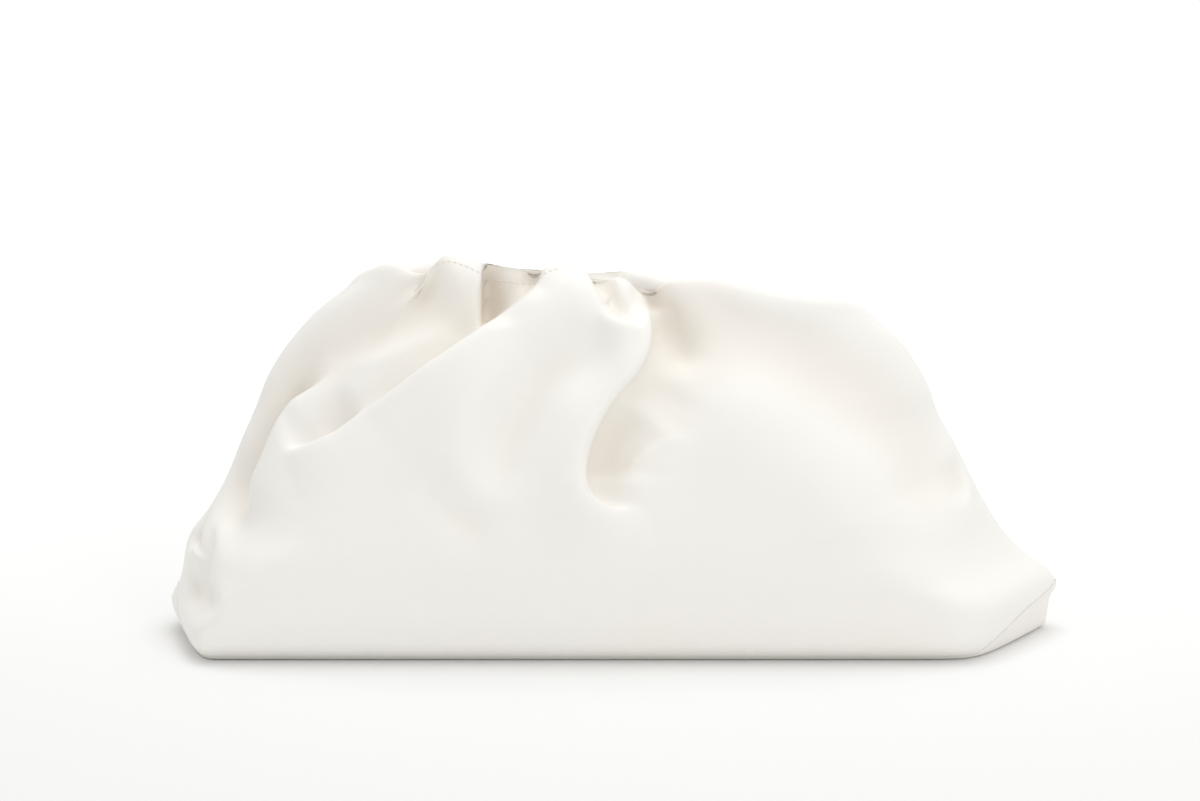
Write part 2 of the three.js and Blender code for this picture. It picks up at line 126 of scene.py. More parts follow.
@dataclass(frozen=True)
class LipSection:
    """One step of the lip over the crest, in shares of the lip's width."""

    drop: float
    out: float
    corner: float


@dataclass(frozen=True)
class CrestPoint:
    """The crest at one place along the mouth, -1 to 1, in shares of the height on each side."""

    at: float
    front: float
    back: float


@dataclass(frozen=True)
class Fold:
    """One crease, pleat or swell that follows a path over a face.

    The lifts are how far the leather stands out on the two sides of the path, in shares of the
    folds' depth. The widths are shares of the folds' width, edge is a share of the folds' edge, and
    over is how far the high side laps over the low one, a share of the depth. Each path point is
    x in percent of half the length, height in percent of the height, and the strength in percent.
    """

    side: Side
    left_lift: float
    right_lift: float
    left_width: float
    right_width: float
    path: tuple[tuple[float, float, float], ...]
    edge: float = 1.0
    over: float = 0.0


WALL = tuple(WallSection(*row) for row in (
    (0.000, 0.965, 0.975, 0.07, 0.19, 0.95, 0.860),
    (0.035, 0.990, 0.980, 0.08, 0.20, 0.95, 0.955),
    (0.080, 1.000, 0.985, 0.09, 0.20, 0.95, 0.985),
    (0.120, 0.985, 1.000, 0.10, 0.21, 0.95, 1.000),
    (0.160, 0.975, 0.980, 0.12, 0.22, 0.90, 1.000),
    (0.205, 0.968, 0.925, 0.15, 0.24, 0.80, 1.000),
    (0.260, 0.955, 0.880, 0.18, 0.26, 0.70, 0.985),
    (0.320, 0.915, 0.845, 0.22, 0.28, 0.62, 0.955),
    (0.400, 0.875, 0.807, 0.26, 0.30, 0.58, 0.900),
    (0.500, 0.840, 0.765, 0.30, 0.34, 0.55, 0.820),
    (0.600, 0.805, 0.728, 0.34, 0.38, 0.52, 0.735),
    (0.700, 0.774, 0.708, 0.38, 0.40, 0.50, 0.640),
    (0.800, 0.725, 0.682, 0.40, 0.42, 0.50, 0.535),
    (0.890, 0.662, 0.646, 0.40, 0.42, 0.50, 0.425),
))

LIP = tuple(LipSection(*row) for row in (
    (0.69, 1.44, 0.32), (0.21, 0.99, 0.21), (0.00, 0.59, 0.13),
    (0.14, 0.26, 0.08), (0.55, 0.05, 0.05), (0.85, 0.00, 0.05),
))

CREST = tuple(CrestPoint(*row) for row in (
    (-1.00, 0.950, 0.950), (-0.92, 0.976, 0.945), (-0.78, 0.958, 0.958), (-0.70, 1.000, 0.970),
    (-0.51, 0.980, 0.945), (-0.32, 0.965, 0.935), (-0.14, 0.968, 0.935), (-0.06, 0.940, 0.938),
    (0.02, 0.942, 0.942), (0.12, 0.914, 0.938), (0.23, 0.934, 0.915), (0.42, 0.942, 0.912),
    (0.65, 0.915, 0.890), (0.84, 0.892, 0.868), (0.95, 0.876, 0.856), (1.00, 0.850, 0.850),
))

F, B = Side.FRONT, Side.BACK
FOLDS = (
    # The long slanting pleat from the rim down to the left.
    Fold(F, -0.95, 0.6, 1.0, 2.6, (
        (-61, 57.5, 0), (-53.5, 63.7, 45), (-45, 70.5, 75), (-40, 74.4, 90), (-30, 82.2, 100),
        (-21, 89.2, 100), (-16.5, 94.5, 70), (-15, 105, 20)), 0.85, 0.25),
    Fold(F, -0.8, 0.3, 0.75, 1.6, (
        (-72, 51, 0), (-68, 52.7, 70), (-62, 56.5, 100), (-58.5, 59.5, 70),
        (-54, 64, 0)), 0.8, 0.2),
    # The strap-like pleat at the rim, whose right edge laps over a small recess.
    Fold(F, 0.25, -1.35, 0.45, 0.65, (
        (-29.2, 82.2, 0), (-29.1, 86, 75), (-29, 90, 100), (-28.9, 94, 90), (-28.8, 98, 50),
        (-28.8, 102, 20)), 0.5, 0.2),
    Fold(F, -0.6, -0.6, 0.42, 0.38, (
        (-54, 88.5, 0), (-46, 90.5, 50), (-42.5, 92.5, 100), (-40.5, 95, 100), (-39, 100, 50))),
    Fold(F, -0.6, -0.6, 0.3, 0.3, (
        (-18.2, 90, 0), (-17.6, 93, 90), (-17, 96, 100), (-16.6, 100, 50))),
    # The long pocket and the outer pocket at the left end.
    Fold(F, -1.35, 0.6, 0.75, 1.2, (
        (-82, 34, 0), (-80, 42, 70), (-77.5, 48, 100), (-75, 55, 100), (-72, 62, 90),
        (-68.5, 66.5, 50), (-62, 72, 0)), 0.9, 0.25),
    Fold(F, -0.6, -0.6, 0.44, 0.5, (
        (-87.5, 52, 0), (-86.2, 44, 100), (-84.5, 37, 100), (-83, 29, 0))),
    Fold(F, -2.4, 0.35, 0.42, 0.5, (
        (-94.5, 22, 0), (-93.3, 25, 100), (-92, 29, 100), (-90.5, 33.5, 90), (-88.5, 38.5, 40),
        (-86, 44, 0)), 0.55, 0.45),
    Fold(F, -0.6, 0.45, 0.3, 0.55, (
        (-98.5, 24, 80), (-95.5, 24.5, 100), (-92.8, 24, 80), (-89, 22.5, 0)), 0.55, 0.25),
    Fold(F, 0.35, -0.3, 0.45, 0.4, (
        (-88.5, 32, 0), (-87.5, 27, 100), (-88, 22, 100), (-90, 17, 0)), 0.9, 0.1),
    Fold(F, -0.4, -0.4, 0.34, 0.34, (
        (-95.5, 14, 0), (-93, 15, 100), (-90, 16, 100), (-86, 19, 0))),
    # The deep curved pleat under the notch, which runs out in a hook.
    Fold(F, -0.8, 0.75, 1.1, 1.25, (
        (5.8, 105, 0), (6.3, 95, 30), (7.2, 89, 80), (8.2, 83.5, 100), (7.8, 78, 100),
        (5.2, 72, 90), (1, 67, 75), (-3, 60, 85), (-5.5, 53, 95), (-6, 47, 95), (-4.5, 43, 85),
        (-1, 40.5, 60), (3.5, 40, 30), (7.5, 41, 0)), 1.2, 0.3),
    Fold(F, -1.45, 0.6, 0.65, 0.8, (
        (-7.5, 100, 50), (-6, 94.5, 90), (-3.5, 90, 100), (-0.5, 86.2, 100), (3, 83.8, 60),
        (6, 82.8, 0)), 0.6, 0.3),
    Fold(F, -1.0, -1.0, 0.3, 0.3, ((7.4, 85, 0), (7, 87.5, 90), (6.8, 90, 100), (6.4, 94, 50))),
    Fold(F, -0.5, -0.5, 0.55, 0.5, (
        (8.5, 90, 50), (11.5, 84, 100), (15, 78, 90), (16.5, 73, 30), (17, 70, 0))),
    Fold(F, -0.2, -0.2, 0.8, 0.8, ((15, 70, 0), (12, 64, 100), (9, 59, 0))),
    Fold(F, -0.5, -0.5, 0.85, 0.65, (
        (5, 66, 0), (3, 60, 80), (1, 55, 100), (-0.2, 50, 90), (-0.5, 45, 0))),
    # The hollow and the swell that follow the right shoulder.
    Fold(F, -0.85, -0.85, 0.85, 1.45, (
        (15, 96, 0), (19, 89.5, 60), (26, 84.5, 90), (40, 78.5, 100), (48.6, 72.6, 100),
        (60, 63.7, 100), (68.5, 54.5, 100), (72.5, 45, 80), (73.5, 37, 40), (73, 29, 0))),
    Fold(F, 0.6, 0.6, 0.8, 0.8, (
        (16, 99, 0), (27, 95, 60), (40, 90, 80), (51, 83, 45), (62, 72, 50), (70, 61, 85),
        (75.5, 49, 90), (76.5, 38, 50), (76, 28, 0))),
    Fold(F, 0.4, 0.4, 1.8, 1.8, (
        (16, 66, 0), (30, 60, 100), (46, 50, 100), (56, 38, 60), (58, 26, 0))),
    Fold(F, -0.45, 0.3, 0.45, 0.5, (
        (79, 36, 0), (78.5, 41, 100), (77.5, 45, 80), (76.5, 49, 0)), 0.5, 0.15),
    # The wide hollow and swell between the two great pleats.
    Fold(F, -0.8, -0.8, 0.8, 0.8, (
        (4, 80, 20), (-3, 77.5, 60), (-10, 74.5, 90), (-16, 70, 100), (-20.5, 62, 100),
        (-24, 55, 80), (-26, 48, 50), (-26.5, 40, 0))),
    Fold(F, 0.4, 0.4, 1.0, 1.0, (
        (-20, 82, 0), (-28, 72, 70), (-32, 62, 100), (-33, 52, 90), (-31, 45, 50), (-27, 39, 0))),
    # The hollow and the fine creases of the left shoulder.
    Fold(F, -0.75, -0.75, 0.6, 0.6, (
        (-33, 91, 20), (-40, 89, 80), (-50, 84.5, 100), (-60, 78.5, 100), (-68, 73, 80),
        (-73, 67, 40), (-76, 60, 0))),
    Fold(F, 0.32, 0.32, 0.34, 0.34, ((-33, 83, 0), (-42, 79, 100), (-52, 75, 100), (-62, 70, 0))),
    Fold(F, 0.28, 0.28, 0.32, 0.32, (
        (-36, 77.5, 0), (-45, 73.5, 100), (-54, 69, 100), (-62, 64, 0))),
    Fold(F, -0.28, -0.28, 0.56, 0.56, ((-42, 50, 0), (-38, 43, 100), (-31, 35, 80), (-26, 30, 0))),
    # The gathers of the back.
    Fold(B, -0.9, -0.9, 1.05, 0.9, ((-30, 104, 25), (-36, 84, 100), (-46, 62, 80), (-52, 42, 0))),
    Fold(B, 0.65, 0.65, 1.05, 1.05, ((-18, 100, 15), (-24, 80, 100), (-33, 60, 80), (-36, 38, 0))),
    Fold(B, -0.8, -0.8, 0.9, 0.9, ((-4, 104, 25), (-6, 84, 100), (-12, 64, 80), (-16, 44, 0))),
    Fold(B, -1.0, -1.0, 0.9, 1.05, ((20, 104, 25), (25, 84, 100), (36, 64, 90), (46, 42, 0))),
    Fold(B, 0.65, 0.65, 1.05, 1.05, ((8, 100, 15), (12, 80, 100), (22, 58, 80), (26, 38, 0))),
    Fold(B, -0.75, -0.75, 0.9, 0.9, ((44, 94, 20), (54, 76, 100), (66, 56, 80), (72, 38, 0))),
    Fold(B, -0.75, -0.75, 0.9, 0.9, ((-50, 92, 20), (-62, 74, 100), (-74, 54, 80), (-80, 36, 0))),
    Fold(B, -0.8, 0.4, 0.6, 0.8, (
        (-12, 103, 20), (-15, 90, 100), (-22, 74, 80), (-27, 60, 0)), 0.8, 0.3),
    Fold(B, -0.8, 0.4, 0.6, 0.8, (
        (34, 102, 20), (38, 88, 100), (45, 74, 80), (50, 60, 0)), 0.8, 0.3),
    Fold(B, 0.4, -0.7, 0.8, 0.5, ((2, 103, 20), (3, 90, 100), (2, 74, 80), (1, 60, 0)), 0.8, 0.3),
)


@dataclass
class LeatherForm:
    """The shape that the wrap, the base and the facing share, in millimetres.

    The folds fade from one share of the lip's width past the crest to another. Crowding is how much
    closer the columns lie at the two ends, and the samples are how finely a curve is measured.
    """

    length: float = 384.0
    height: float = 165.0
    depth: float = 136.0
    leather: float = 2.0
    mouth_length: float = 196.0
    mouth_gap: float = 10.4
    lip_width: float = 12.0
    facing_depth: float = 24.0
    seam_gap: float = 0.12
    left_gusset_rise: float = 20.0
    right_gusset_rise: float = 21.0
    fold_depth: float = 8.0
    fold_width: float = 16.0
    fold_edge: float = 2.2
    crowding: float = 0.55
    crest_starts: float = 0.45
    folds_fade_after: float = 0.3
    folds_gone_after: float = 1.1
    turn_level_over: int = 3
    crest_keeps: float = 0.85
    corner_sharpness: float = 9.0
    lip_blunt: float = 0.5
    face_fade: float = 2.2
    tip_step: float = 1e-3
    mitre_limit: float = 1.4
    spacing_samples: int = 801
    seam_samples: int = 2001

    def __post_init__(self) -> None:
        """Turn the section tables to millimetres."""
        half = self.length / 2
        rows = []
        for s in WALL:
            rows.append((
                s.height * self.height, s.left * half, s.right * half,
                s.left_corner, s.right_corner, s.blunt, s.depth * self.depth / 2,
            ))
        for s in LIP:
            end = self.mouth_length / 2 + s.out * self.lip_width
            rows.append((
                self.height - s.drop * self.lip_width, end, end,
                s.corner, s.corner, self.lip_blunt, self.mouth_gap / 2 + s.out * self.lip_width,
            ))
        self.table = np.array(rows)
        self.numbers = np.arange(len(self.table), dtype=float)
        self.shoulder = len(WALL) - 1
        self.crest_number = len(WALL) + 2
        self.last = len(self.table) - 1

    def column(self, index: Column, number: Array) -> Array:
        """Read one column of the section table at section numbers."""
        return through(self.numbers, self.table[:, index], number)

    def crest(self, side: Array, at: Array) -> Array:
        """Give the crest's height along the mouth.

        Args:
            side: -1 on the front, 1 on the back.
            at: the place along the mouth, from -1 to 1.

        Returns:
            The heights.
        """
        rows = np.array([(point.at, point.front, point.back) for point in CREST])
        front = through(rows[:, 0], rows[:, 1], at)
        back = through(rows[:, 0], rows[:, 2], at)
        return np.where(side < 0, front, back) * self.height

    def loop(self, front: int, back: int) -> tuple[Array, Array]:
        """Lay out the columns of a closed loop.

        Args:
            front: steps along the front, left to right.
            back: steps along the back, right to left.

        Returns:
            The side, -1 or 1, and the place from -1 to 1 of each column.
        """
        places = []
        for count in (front, back):
            even = np.linspace(-1, 1, count + 1)
            places.append(even * (1 - self.crowding) + np.sin(np.pi / 2 * even) * self.crowding)
        at = np.concatenate([places[0], places[1][1:-1][::-1]])
        side = np.concatenate([np.full(front + 1, -1.0), np.full(back - 1, 1.0)])
        return side, at

    def even_numbers(self, first: float, last: float, count: int) -> Array:
        """Space section numbers evenly over the leather.

        Args:
            first: the section number to start from.
            last: the section number to end at.
            count: how many steps to take.

        Returns:
            The section numbers.
        """
        samples = np.linspace(first, last, self.spacing_samples)
        outward, upward = self.column(Column.DEPTH, samples), self.column(Column.HEIGHT, samples)
        travelled = distances(np.stack([outward, upward], -1))
        return np.interp(np.linspace(0, travelled[-1], count + 1), travelled, samples)

    def reach(self, at: Array, corner: Array, blunt: Array) -> Array:
        """Tell how far out a section reaches.

        Args:
            at: the place along the section, from -1 to 1.
            corner: the share of its half length that each corner takes.
            blunt: how full the corner is.

        Returns:
            The reach, from 0 at the tips to 1 on the flat.
        """
        sharpness = self.corner_sharpness

        def limit(value: Array) -> Array:
            """Round the rise off where it meets the flat."""
            return -np.log(np.exp(-sharpness * value) + math.exp(-sharpness)) / sharpness

        rise = (np.maximum(1 - np.abs(at), 0) / corner) ** blunt
        start = limit(np.zeros(1))[0]
        return (limit(rise) - start) / (limit((1 / corner) ** blunt) - start)

    def section_reach(self, at: Array, number: Array) -> Array:
        """Tell how far out the loops reach at section numbers, from 0 to 1."""
        left = self.column(Column.LEFT_CORNER, number)
        right = self.column(Column.RIGHT_CORNER, number)
        return self.reach(at, np.where(at < 0, left, right), self.column(Column.BLUNT, number))

    def level_point(
        self, side: Array, at: Array, number: Array,
    ) -> tuple[Array, Array]:
        """Give the loops' points at section numbers.

        Args:
            side: -1 on the front, 1 on the back.
            at: the place along the loop, from -1 to 1.
            number: the section numbers.

        Returns:
            The points' x and y.
        """
        left, right = self.column(Column.LEFT, number), self.column(Column.RIGHT, number)
        y = side * self.section_reach(at, number) * self.column(Column.DEPTH, number)
        return at * np.where(at < 0, left, right), y

    def on_face(self, at: Array, number: Array) -> Array:
        """Fade the folds out towards the two tips of each section."""
        return smooth(self.section_reach(at, number) * self.face_fade)

    def level_out(self, side: Array, at: Array, number: Array) -> Array:
        """Give the level outward direction of the loops.

        Args:
            side: -1 on the front, 1 on the back.
            at: the place along the loop, from -1 to 1.
            number: the section numbers.

        Returns:
            The directions, of length 1, or longer at a tip, where a wall has to keep its thickness.
        """
        step = self.tip_step
        x0, y0 = self.level_point(side, np.maximum(-1, at - step), number)
        x1, y1 = self.level_point(side, np.minimum(1, at + step), number)
        along = unit(np.stack([x1 - x0, y1 - y0], -1))
        out = np.stack([along[..., 1], -along[..., 0]], -1) * -side[..., None]
        tip = np.abs(at) > 1 - step
        slant = np.maximum(np.abs(out[..., 0]), 0.5 / self.mitre_limit)
        mitre = np.sign(at) * np.minimum(self.mitre_limit, 1 / slant)
        out = np.where(tip[..., None], np.stack([mitre, np.zeros_like(at)], -1), out)
        return np.concatenate([out, np.zeros_like(out[..., :1])], -1)

    def seam_height(self, at: Array) -> Array:
        """Give the height of the seam between base and wrap, which climbs at both ends.

        Args:
            at: the place along the loop, from -1 to 1.

        Returns:
            The heights.
        """
        left = at < 0
        corner = np.where(left, WALL[0].left_corner, WALL[0].right_corner)
        along = np.maximum(0, 1 - (1 - np.abs(at)) / corner)
        rise = np.where(left, self.left_gusset_rise, self.right_gusset_rise)
        return self.leather + along * (rise - self.leather)

    def number_at(self, height: Array) -> Array:
        """Find the section number at a height on the wall."""
        samples = np.linspace(0, self.shoulder, self.seam_samples)
        return np.interp(height, self.column(Column.HEIGHT, samples), samples)


@dataclass
class Sheet:
    """A grid of leather points with what the folds and stitches need at each one.

    on_sheet is the height on the laid-out leather, crossed is how far past the crest a point lies,
    and hollow is how deep the folds sink it, all in millimetres.
    """

    points: Array
    side: Array
    at: Array
    number: Array
    on_sheet: Array
    crossed: Array
    hollow: Array

    def out(self, form: LeatherForm) -> Array:
        """Give the leather's outward direction at each point, level on the first and last rows.

        Args:
            form: the bag's shape.

        Returns:
            The directions.
        """
        across = np.roll(self.points, -1, 1) - np.roll(self.points, 1, 1)
        up = np.empty_like(self.points)
        up[1:-1] = self.points[2:] - self.points[:-2]
        up[0] = self.points[1] - self.points[0]
        up[-1] = self.points[-1] - self.points[-2]
        normal = unit(np.cross(across, up))
        level = form.level_out(self.side, self.at, self.number)
        normal[0] = level[0]
        normal[-1] = -level[-1]
        return normal


class FoldField:
    """Works out how the folds move the leather."""

    STEPS_BETWEEN = 8
    WIDTHS_REACHED = 3

    def __init__(self, form: LeatherForm, folds: Sequence[Fold]) -> None:
        """Smooth every fold's path and turn it to millimetres."""
        self.form = form
        self.folds = [(fold, self.path(fold)) for fold in folds]

    def path(self, fold: Fold) -> Array:
        """Smooth a fold's path.

        Args:
            fold: the fold.

        Returns:
            Points of x, height and strength.
        """
        rows = np.array(fold.path) / 100 * (self.form.length / 2, self.form.height, 1)
        places = np.arange(len(rows), dtype=float)
        fine = np.linspace(0, len(rows) - 1, self.STEPS_BETWEEN * (len(rows) - 1) + 1)
        return np.stack([through(places, rows[:, i], fine) for i in range(3)], -1)

    def near(self, path: Array, x: Array, height: Array) -> tuple[Array, ...]:
        """Find the nearest spot of a path.

        Args:
            path: points of x, height and strength.
            x: where the leather's points lie.
            height: how high they lie on the laid-out leather.

        Returns:
            The distance, above 0 on the path's left, the strength, and the direction from the path
            towards its left, as x and height.
        """
        best = np.full(x.shape, np.inf)
        signed, strength = np.zeros(x.shape), np.zeros(x.shape)
        left_x, left_z = np.zeros(x.shape), np.zeros(x.shape)
        for a, b in zip(path[:-1], path[1:]):
            dx, dz = b[0] - a[0], b[1] - a[1]
            size = math.hypot(dx, dz)
            t = np.clip(((x - a[0]) * dx + (height - a[1]) * dz) / size**2, 0, 1)
            ex, ez = x - a[0] - t * dx, height - a[1] - t * dz
            away = np.hypot(ex, ez)
            closer = away < best
            best = np.where(closer, away, best)
            signed = np.where(closer, away * np.sign(dx * ez - dz * ex), signed)
            strength = np.where(closer, smooth(a[2] + (b[2] - a[2]) * t), strength)
            left_x = np.where(closer, -dz / size, left_x)
            left_z = np.where(closer, dx / size, left_z)
        return signed, strength, left_x, left_z

    def move(self, sheet: Sheet) -> None:
        """Move a sheet's points by all the folds, and note where it sinks.

        Args:
            sheet: the sheet.
        """
        form = self.form
        out = sheet.out(form)
        turned = smooth((sheet.number - (len(WALL) - form.turn_level_over)) / form.turn_level_over)
        out[..., 2] *= 1 - form.crest_keeps * turned
        past = sheet.crossed / form.lip_width - form.folds_fade_after
        fading = 1 - smooth(past / (form.folds_gone_after - form.folds_fade_after))
        weight = form.on_face(sheet.at, sheet.number) * fading
        up = unit(np.gradient(sheet.points, axis=0))
        across = np.cross(up, out)
        x, height = sheet.points[..., 0], sheet.on_sheet
        offset = np.zeros_like(sheet.points)
        for fold, path in self.folds:
            reach = self.WIDTHS_REACHED * form.fold_width * max(fold.left_width, fold.right_width)
            low, high = path.min(0) - reach, path.max(0) + reach
            mask = (sheet.side == fold.side.value) & (x > low[0]) & (x < high[0])
            mask &= (height > low[1]) & (height < high[1])
            distance, strength, left_x, left_z = self.near(path, x[mask], height[mask])
            width = np.where(distance > 0, fold.left_width, fold.right_width) * form.fold_width
            edge = fold.edge * form.fold_edge
            to_left = (1 + np.tanh(distance / edge)) / 2
            lift = (fold.right_lift * (1 - to_left) + fold.left_lift * to_left) * form.fold_depth
            lift = lift * np.exp(-((np.abs(distance) / width) ** 2)) * strength * weight[mask]
            offset[mask] += out[mask] * lift[:, None]
            sheet.hollow[mask] -= lift
            if fold.over:
                step = distance / edge
                lap = fold.over * form.fold_depth * np.exp(0.5 * (1 - step**2))
                lap = lap * strength * weight[mask] * -step
                leftward = across[mask] * left_x[:, None] + up[mask] * left_z[:, None]
                offset[mask] += leftward * lap[:, None]
        sheet.points = sheet.points + offset


def make_object(
    name: str, points: Array, faces: Sequence[Sequence[int]], material: bpy.types.Material,
) -> bpy.types.Object:
    """Make a smooth-shaded object from points in millimetres.

    Args:
        name: the piece's name.
        points: its vertices.
        faces: its faces, outward.
        material: its finish.

    Returns:
        The object, linked to the scene.
    """
    mesh = bpy.data.meshes.new(name)
    mesh.from_pydata((points * MM).tolist(), [], faces)
    mesh.validate()
    mesh.polygons.foreach_set("use_smooth", [True] * len(mesh.polygons))
    mesh.materials.append(material)
    piece = bpy.data.objects.new(name, mesh)
    bpy.context.scene.collection.objects.link(piece)
    return piece


def grid_faces(rows: int, columns: int, start: int = 0, turned: bool = False) -> Array:
    """Give the quads of a grid whose rows close on themselves.

    Args:
        rows: how many rows it has.
        columns: how many columns.
        start: the number of its first vertex.
        turned: whether the quads face the other way.

    Returns:
        The quads.
    """
    index = start + np.arange(rows * columns).reshape(rows, columns)
    a, b = index[:-1], np.roll(index, -1, 1)[:-1]
    c, d = np.roll(index, -1, 1)[1:], index[1:]
    order = (b, a, d, c) if turned else (a, b, c, d)
    return np.stack(order, -1).reshape(-1, 4)


def strip_faces(first: Array, second: Array) -> Array:
    """Give the quads between two closed rows of vertices."""
    return np.stack([first, np.roll(first, -1), np.roll(second, -1), second], -1)


def closed_wall(
    outer: Array, inner: Array, on_line: bool = False,
) -> tuple[Array, list[list[int]]]:
    """Close an outer and an inner grid into one body.

    Args:
        outer: the outer grid, row by row.
        inner: the inner grid, with as many columns.
        on_line: whether both grids start on a centre line, where no edge strip is needed.

    Returns:
        The vertices and faces.
    """
    rows, columns = outer.shape[:2]
    behind = rows * columns
    inner_rows = inner.shape[0]
    first, last = np.arange(columns), np.arange(columns) + behind - columns
    inner_first = np.arange(columns) + behind
    inner_last = inner_first + (inner_rows - 1) * columns
    outside, inside = grid_faces(rows, columns), grid_faces(inner_rows, columns, behind, True)
    parts = [outside, inside, strip_faces(last, inner_last)]
    if not on_line:
        parts.append(strip_faces(inner_first, first))
    points = np.concatenate([outer.reshape(-1, 3), inner.reshape(-1, 3)])
    faces = np.concatenate(parts)
    if not on_line:
        return points, faces.tolist()
    keys = np.round(points / SAME_POINT).astype(np.int64)
    _, keep, where = np.unique(keys, axis=0, return_index=True, return_inverse=True)
    merged = where.reshape(-1)[faces]
    clean = []
    for face in merged.tolist():
        loop = [v for i, v in enumerate(face) if v != face[i - 1]]
        if len(set(loop)) >= 3:
            clean.append(loop)
    return points[keep], clean


def linear(hex_colour: str) -> tuple[float, float, float, float]:
    """Turn an sRGB hex colour to linear values.

    Args:
        hex_colour: the colour, as #rrggbb.

    Returns:
        Red, green, blue and full alpha.
    """
    parts = [int(hex_colour[i:i + 2], 16) / 255 for i in (1, 3, 5)]
    values = [c / 12.92 if c <= 0.04045 else ((c + 0.055) / 1.055) ** 2.4 for c in parts]
    return (*values, 1.0)


def new_surface(name: str) -> tuple[bpy.types.Material, bpy.types.NodeTree, bpy.types.Node]:
    """Start a material.

    Args:
        name: the material's name.

    Returns:
        The material, its node tree and its shader.
    """
    made = bpy.data.materials.new(name)
    made.use_nodes = True
    return made, made.node_tree, made.node_tree.nodes["Principled BSDF"]


def add_node(
    tree: bpy.types.NodeTree, kind: str, settings: dict[str | int, object],
    links: dict[str | int, bpy.types.NodeSocket],
) -> bpy.types.Node:
    """Add a node with its settings and links.

    Args:
        tree: the node tree.
        kind: the node's type.
        settings: values by input name or number, or by property name where no input has it.
        links: output sockets by the name or number of the input that each one feeds.

    Returns:
        The node.
    """
    node = tree.nodes.new(kind)
    for name, value in settings.items():
        if isinstance(name, int) or name in node.inputs:
            node.inputs[name].default_value = value
        else:
            setattr(node, name, value)
    for name, socket in links.items():
        tree.links.new(socket, node.inputs[name])
    return node


@dataclass(frozen=True)
class Nappa:
    """Soft full-grain lamb nappa, drum dyed off-white and finished satin.

    The thin pigment coat keeps a low, broad gloss. The pores are fine and close, with faint long
    wrinkles where the skin is gathered. Painted shade makes the hollows of the folds a little
    warmer and darker than the crowns, and the deepest folds darker still.
    """

    name: str
    crown: str = "#f5f3ee"
    # The hollow and deep colours are painted shade, laid on by how deep the folds sink the leather.
    hollow: str = "#f0ebe2"
    deep_shade: str = "#ddd3c6"
    crown_stop: float = 0.04
    hollow_shade_stop: float = 0.5
    deep_shade_stop: float = 0.90
    drift: float = 0.18
    drift_mm: float = 90.0
    specular: float = 0.42
    roughness: float = 0.46
    pore_mm: float = 0.9
    pore_share: float = 0.6
    wrinkle_mm: float = 9.0
    pore_depth_mm: float = 0.05
    wrinkle_depth_mm: float = 0.22

    def material(self) -> bpy.types.Material:
        """Make the leather's material: dye first, then the satin, the pores and the wrinkles."""
        made, tree, shader = new_surface(self.name)
        shader.inputs["IOR"].default_value = 1.5
        shader.inputs["Specular IOR Level"].default_value = self.specular
        place = add_node(tree, "ShaderNodeTexCoord", {}, {}).outputs["Object"]
        # The dye drifts slowly over the skin, and painted shade darkens the hollows of the folds,
        # most in the deepest.
        drift = add_node(
            tree, "ShaderNodeTexNoise", {"Scale": 1 / (self.drift_mm * MM), "Detail": 2.0},
            {"Vector": place},
        )
        sunk = add_node(tree, "ShaderNodeAttribute", {"attribute_name": "hollow"}, {})
        amount = add_node(
            tree, "ShaderNodeMath", {"operation": "MULTIPLY_ADD", 1: self.drift},
            {0: drift.outputs["Fac"], 2: sunk.outputs["Fac"]},
        )
        dye_and_shade = add_node(tree, "ShaderNodeValToRGB", {}, {"Fac": amount.outputs["Value"]})
        stops = dye_and_shade.color_ramp.elements
        stops[0].position, stops[1].position = self.crown_stop, self.hollow_shade_stop
        stops[0].color, stops[1].color = linear(self.crown), linear(self.hollow)
        # The last stop paints darker shade into the deepest folds.
        stops.new(self.deep_shade_stop).color = linear(self.deep_shade)
        tree.links.new(dye_and_shade.outputs["Color"], shader.inputs["Base Color"])
        # Real nappa pores are about 0.3 mm apart. They are drawn three times as coarse to show.
        pores = add_node(
            tree, "ShaderNodeTexVoronoi",
            {"Scale": 1 / (self.pore_mm * MM), "feature": "DISTANCE_TO_EDGE"}, {"Vector": place},
        )
        grain = add_node(
            tree, "ShaderNodeTexNoise", {"Scale": 1 / (0.5 * self.pore_mm * MM), "Detail": 2.0},
            {"Vector": place},
        )
        wrinkles = add_node(
            tree, "ShaderNodeTexNoise",
            {"Scale": 1 / (self.wrinkle_mm * MM), "Detail": 4.0, "Distortion": 0.6},
            {"Vector": place},
        )
        satin = add_node(
            tree, "ShaderNodeMapRange",
            {"To Min": self.roughness - 0.05, "To Max": self.roughness + 0.07},
            {"Value": wrinkles.outputs["Fac"]},
        )
        tree.links.new(satin.outputs["Result"], shader.inputs["Roughness"])
        fine = add_node(
            tree, "ShaderNodeMath", {"operation": "MULTIPLY_ADD", 1: self.pore_share},
            {0: pores.outputs["Distance"], 2: grain.outputs["Fac"]},
        )
        broad = add_node(
            tree, "ShaderNodeBump", {"Strength": 0.55, "Distance": self.wrinkle_depth_mm * MM},
            {"Height": wrinkles.outputs["Fac"]},
        )
        bump = add_node(
            tree, "ShaderNodeBump", {"Strength": 0.5, "Distance": self.pore_depth_mm * MM},
            {"Height": fine.outputs["Value"], "Normal": broad.outputs["Normal"]},
        )
        tree.links.new(bump.outputs["Normal"], shader.inputs["Normal"])
        return made


